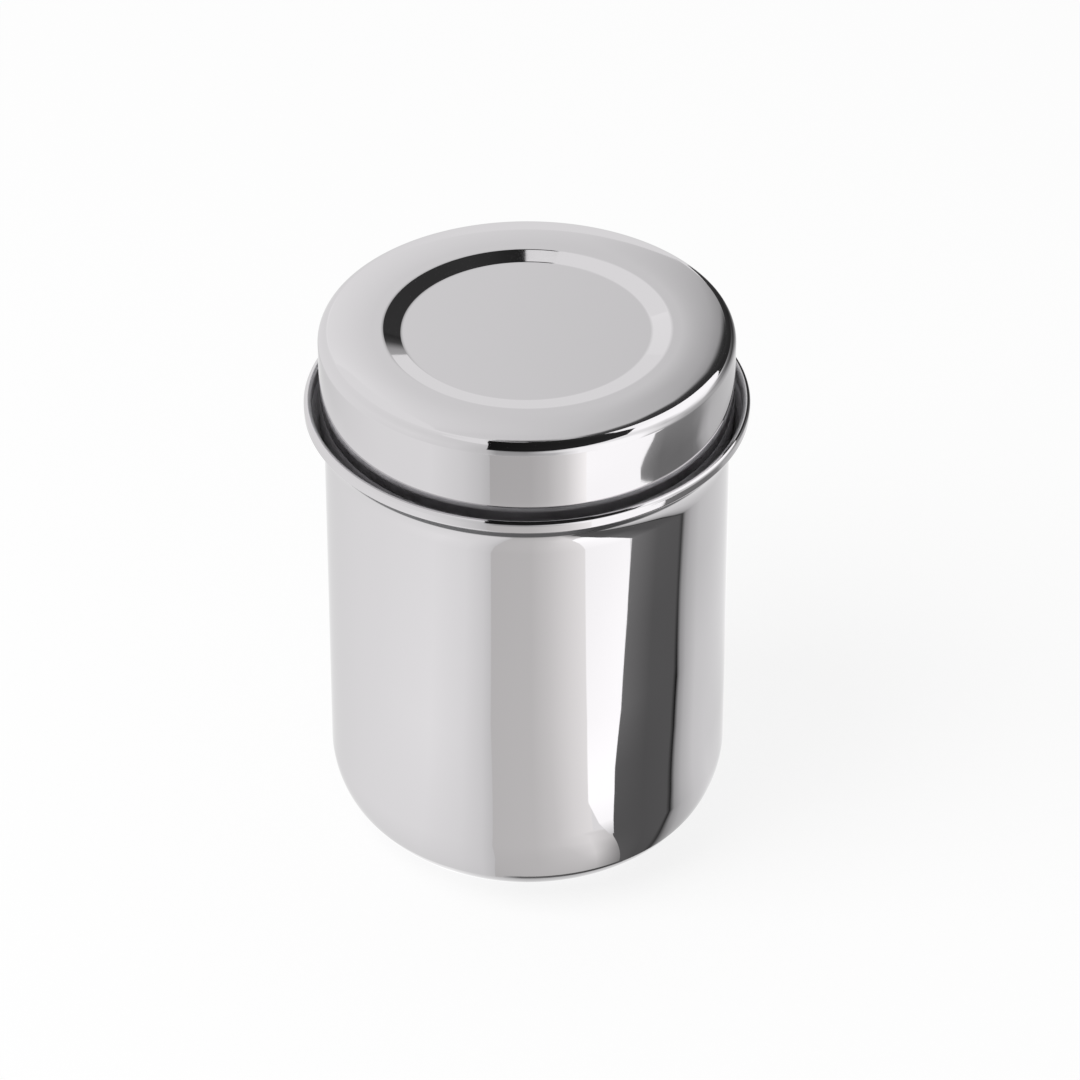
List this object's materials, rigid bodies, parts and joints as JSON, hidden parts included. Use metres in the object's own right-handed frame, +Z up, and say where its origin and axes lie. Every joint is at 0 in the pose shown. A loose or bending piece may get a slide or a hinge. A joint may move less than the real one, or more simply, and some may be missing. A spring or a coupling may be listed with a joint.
{
  "type": "cotton jar with lid",
  "caption": "Round polished steel jar with straight walls, a rounded base and a hemmed rim, closed by a loose cap-shaped lid with a sunk round panel that lifts off, for cotton wool or swabs.",
  "frame": {"origin": "middle of the base, on the surface that the jar stands on", "axes": "+Z up along the axis that both pieces are round about; +X to the right and +Y away from the picture's viewer"},
  "size_m": [0.1096, 0.1096, 0.1452],
  "materials": {
    "jar_steel": "mirror polished",
    "lid_steel": "mirror polished"
  },
  "bodies": {
    "jar": {"jar_body": "jar_steel"},
    "cover": {"lid": "lid_steel"}
  },
  "joints": [
    {"name": "lid_lift", "type": "slide", "parent": "jar", "child": "cover", "axis": [0, 0, 1], "range_m": [0, 0.1]}
  ]
}
